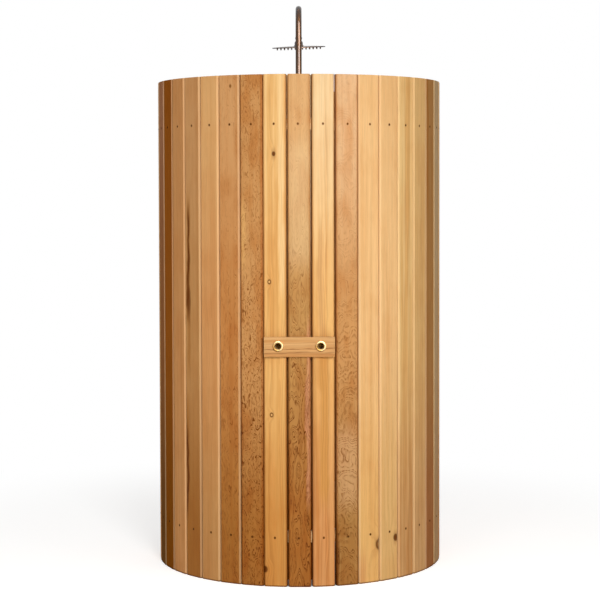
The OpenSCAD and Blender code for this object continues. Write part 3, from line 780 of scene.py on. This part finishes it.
def screwHeadMesh():
    # low dome with a cross recess, pointing along +Z
    bm = bmesh.new()
    around, radius, rise = screwLook["around"], screwLook["radius"], screwLook["rise"]
    rings = []
    for share, lift in screwLook["dome"]:
        rings.append([bm.verts.new((share * radius * math.cos(math.tau * i / around),
                                    share * radius * math.sin(math.tau * i / around), lift * rise))
                      for i in range(around)])
    cross = []
    for i in range(around):
        # three points in every six of the recess's edge lie on an arm of the cross
        reach = screwLook["recess"] if i % (around // 4) in (0, 1, around // 4 - 1) else screwLook["slot"]
        turn = math.tau * i / around
        cross.append((reach * math.cos(turn), reach * math.sin(turn)))
    taper, bottom = screwLook["recessTaper"], screwLook["recessFloor"] * rise
    rings.append([bm.verts.new((x, y, rise)) for x, y in cross])
    rings.append([bm.verts.new((x * taper, y * taper, bottom)) for x, y in cross])
    for a, b in zip(rings, rings[1:]):
        for i in range(around):
            j = (i + 1) % around
            bm.faces.new((a[i], a[j], b[j], b[i]))
    bm.faces.new(rings[-1])
    bm.faces.new(list(reversed(rings[0])))
    bmesh.ops.recalc_face_normals(bm, faces=bm.faces)
    mesh = bpy.data.meshes.new("screwHead")
    bm.to_mesh(mesh)
    bm.free()
    return mesh


def finishTree(tree, get, instances):
    real = addNode(tree, "GeometryNodeRealizeInstances", {0: instances})
    dressed = addNode(tree, "GeometryNodeSetMaterial", {"Geometry": real, "Material": get["Finish"]})
    addNode(tree, "NodeGroupOutput", {0: dressed})


def meshFromTree(name, tree, values):
    carrier = bpy.data.objects.new(name + "Carrier", bpy.data.meshes.new(name + "Carrier"))
    bpy.context.scene.collection.objects.link(carrier)
    modifier = carrier.modifiers.new("layout", "NODES")
    modifier.node_group = tree
    for item in tree.interface.items_tree:
        if item.in_out == "INPUT" and item.name in values:
            modifier[item.identifier] = values[item.name]
    bpy.context.view_layer.update()
    graph = bpy.context.evaluated_depsgraph_get()
    mesh = bpy.data.meshes.new_from_object(carrier.evaluated_get(graph), depsgraph=graph)
    mesh.name = name
    carrier.modifiers.remove(modifier)
    bpy.data.objects.remove(carrier)
    return mesh


def buildScrews():
    tree, get = newGroup("wallScrews", "GeometryNodeTree",
                         {"Geometry": ["Geometry"], "Int": ["Count", "Plumbing Stave", "Seed"],
                          "Float": ["Pitch", "Radius", "Low Row", "High Row", "Sideways"],
                          "Vector": ["Axis"], "Object": ["Head"], "Material": ["Finish"]},
                         {"Geometry": ["Geometry"]})
    total = addNode(tree, "ShaderNodeMath", {0: get["Count"], 1: 2.0}, operation="MULTIPLY")
    points = addNode(tree, "GeometryNodePoints", {"Count": total})
    index = addNode(tree, "GeometryNodeInputIndex")
    share = addNode(tree, "ShaderNodeMath", {0: index, 1: get["Count"]}, operation="DIVIDE")
    row = addNode(tree, "ShaderNodeMath", {0: share}, operation="FLOOR")
    place = addNode(tree, "ShaderNodeMath", {0: index, 1: get["Count"]}, operation="FLOORED_MODULO")
    stave = addNode(tree, "ShaderNodeMath", {0: place, 1: 1.0}, operation="ADD")
    turn = addNode(tree, "ShaderNodeMath", {0: stave, 1: get["Plumbing Stave"]}, operation="SUBTRACT")
    angle = addNode(tree, "ShaderNodeMath", {0: turn, 1: get["Pitch"]}, operation="MULTIPLY")
    wobble = addNode(tree, "ShaderNodeMath", {0: stave, 1: screwRow["wobble"]}, operation="MULTIPLY")
    wobble = addNode(tree, "ShaderNodeMath", {0: wobble}, operation="SINE")
    sideways = addNode(tree, "ShaderNodeMath", {0: wobble, 1: get["Sideways"]}, operation="MULTIPLY")
    climb = addNode(tree, "ShaderNodeMath", {0: get["High Row"], 1: get["Low Row"]}, operation="SUBTRACT")
    height = addNode(tree, "ShaderNodeMath", {0: row, 1: climb, 2: get["Low Row"]},
                     operation="MULTIPLY_ADD")
    # laid out on the plumbing stave, then turned round the wall's axis
    outward = addNode(tree, "ShaderNodeMath", {0: get["Radius"], 1: -1.0}, operation="MULTIPLY")
    laid = addNode(tree, "ShaderNodeCombineXYZ", {0: sideways, 1: outward, 2: height})
    turned = addNode(tree, "ShaderNodeVectorRotate", {"Vector": laid, "Angle": angle},
                     rotation_type="Z_AXIS")
    spot = addNode(tree, "ShaderNodeVectorMath", {0: turned, 1: get["Axis"]}, operation="ADD")
    points = addNode(tree, "GeometryNodeSetPosition", {"Geometry": points, "Position": spot})
    facing = addNode(tree, "ShaderNodeCombineXYZ", {0: math.pi / 2, 2: angle})
    head = addNode(tree, "GeometryNodeObjectInfo", {"Object": get["Head"]}).outputs["Geometry"]
    heads = addNode(tree, "GeometryNodeInstanceOnPoints",
                    {"Points": points, "Instance": head, "Rotation": facing})
    driven = addNode(tree, "FunctionNodeRandomValue",
                     {2: 0.0, 3: math.pi / 2, "ID": index, "Seed": get["Seed"]},
                     data_type="FLOAT").outputs[1]
    spin = addNode(tree, "ShaderNodeCombineXYZ", {2: driven})
    heads = addNode(tree, "GeometryNodeRotateInstances",
                    {"Instances": heads, "Rotation": spin, "Local Space": True})
    finishTree(tree, get, heads)
    source = bpy.data.objects.new("screwHead", screwHeadMesh())
    bpy.context.scene.collection.objects.link(source)
    mesh = meshFromTree("stave_screws", tree, {
        "Count": wall["staves"], "Plumbing Stave": wall["plumbingStave"], "Pitch": pitch,
        "Radius": wall["outerRadius"], "Axis": tuple(wallAxis), "Low Row": lowHoop,
        "High Row": highHoop, "Sideways": screwRow["sway"], "Seed": screwLook["seed"],
        "Head": source, "Finish": metals["screw"]})
    bpy.data.objects.remove(source)
    addPiece("stave_screws", mesh, "cabin")


headLook = dict(pitch=5.3, roll=1.8, faceBelow=18.8 * mm, spacing=13.5 * mm, reach=84 * mm,
                baseRadius=2.7 * mm, tipRadius=2.0 * mm, length=7.0 * mm, around=12)


def buildNozzles():
    # rows and columns a fixed step apart, kept to a round field
    tree, get = newGroup("rainNozzles", "GeometryNodeTree",
                         {"Geometry": ["Geometry"], "Int": ["Steps"],
                          "Float": ["Spacing", "Reach", "Base Radius", "Tip Radius", "Length", "Below"],
                          "Vector": ["Centre"], "Rotation": ["Tilt"], "Material": ["Finish"]},
                         {"Geometry": ["Geometry"]})
    perSide = addNode(tree, "ShaderNodeMath", {0: get["Steps"], 1: 2.0, 2: 1.0}, operation="MULTIPLY_ADD")
    wide = addNode(tree, "ShaderNodeMath", {0: get["Steps"], 1: get["Spacing"]}, operation="MULTIPLY")
    wide = addNode(tree, "ShaderNodeMath", {0: wide, 1: 2.0}, operation="MULTIPLY")
    grid = addNode(tree, "GeometryNodeMeshGrid",
                   {"Size X": wide, "Size Y": wide, "Vertices X": perSide, "Vertices Y": perSide})
    points = addNode(tree, "GeometryNodeMeshToPoints", {0: grid})
    at = addNode(tree, "GeometryNodeInputPosition")
    out = addNode(tree, "ShaderNodeVectorMath", {0: at}, operation="LENGTH").outputs["Value"]
    beyond = addNode(tree, "ShaderNodeMath", {0: out, 1: get["Reach"]}, operation="GREATER_THAN")
    points = addNode(tree, "GeometryNodeDeleteGeometry", {"Geometry": points, "Selection": beyond})
    under = addNode(tree, "ShaderNodeMath", {0: get["Below"], 1: -1.0}, operation="MULTIPLY")
    lower = addNode(tree, "ShaderNodeCombineXYZ", {2: under})
    points = addNode(tree, "GeometryNodeSetPosition", {"Geometry": points, "Offset": lower})
    cone = addNode(tree, "GeometryNodeMeshCone",
                   {"Vertices": headLook["around"], "Radius Top": get["Tip Radius"],
                    "Radius Bottom": get["Base Radius"], "Depth": get["Length"]})
    down = addNode(tree, "GeometryNodeTransform", {"Geometry": cone, "Rotation": (math.pi, 0, 0)})
    tips = addNode(tree, "GeometryNodeInstanceOnPoints", {"Points": points, "Instance": down})
    placed = addNode(tree, "GeometryNodeTransform",
                     {"Geometry": tips, "Translation": get["Centre"], "Rotation": get["Tilt"]})
    finishTree(tree, get, placed)
    mesh = meshFromTree("rain_nozzles", tree, {
        "Steps": math.floor(headLook["reach"] / headLook["spacing"]), "Spacing": headLook["spacing"],
        "Reach": headLook["reach"], "Base Radius": headLook["baseRadius"],
        "Tip Radius": headLook["tipRadius"], "Length": headLook["length"],
        "Below": headLook["faceBelow"], "Centre": tuple(frame["joints"][0]["pos_m"]),
        "Tilt": (math.radians(headLook["pitch"]), -math.radians(headLook["roll"]), 0),
        "Finish": metals["bronze"]})
    addPiece("rain_nozzles", mesh, "head")


buildRosettes()
buildScrews()
buildNozzles()
